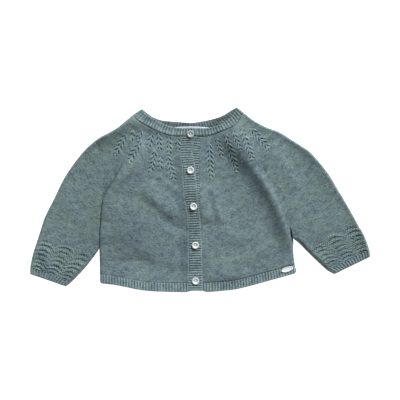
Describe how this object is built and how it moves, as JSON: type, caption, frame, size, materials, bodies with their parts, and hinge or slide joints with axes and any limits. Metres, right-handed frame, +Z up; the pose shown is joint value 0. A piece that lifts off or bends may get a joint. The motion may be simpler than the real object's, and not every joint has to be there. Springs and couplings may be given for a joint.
{
  "type": "baby cardigan, buttoned and laid flat",
  "caption": "Long-sleeved knitted baby cardigan with a round leaf-patterned yoke, ribbed edges and a buttoned front, laid flat on its back.",
  "frame": {"origin": "on the flat underside, under the middle of the garment's outline", "axes": "+X towards the wearer's left sleeve, +Y towards the neck, +Z up from the surface it lies on"},
  "size_m": [0.4931, 0.2682, 0.019],
  "materials": {
    "knit": "matt fine knit, slightly heathered",
    "rib": "matt ribbed knit, slightly heathered",
    "button": "pearly, polished",
    "thread": "matt sewing thread",
    "label": "satin woven tape, bare",
    "badge": "smooth enamel, bare"
  },
  "bodies": {
    "root": {"back": "knit", "right_front": "knit", "left_front": "knit", "right_sleeve": "knit", "left_sleeve": "knit", "back_hem": "rib", "right_hem": "rib", "left_hem": "rib", "right_cuff": "rib", "left_cuff": "rib", "neckband": "rib", "button_band": "rib", "buttonhole_band": "rib", "button_1": "button", "button_2": "button", "button_3": "button", "button_4": "button", "button_5": "button", "button_thread_1": "thread", "button_thread_2": "thread", "button_thread_3": "thread", "button_thread_4": "thread", "button_thread_5": "thread", "neck_label": "label", "badge": "badge"}
  },
  "joints": []
}
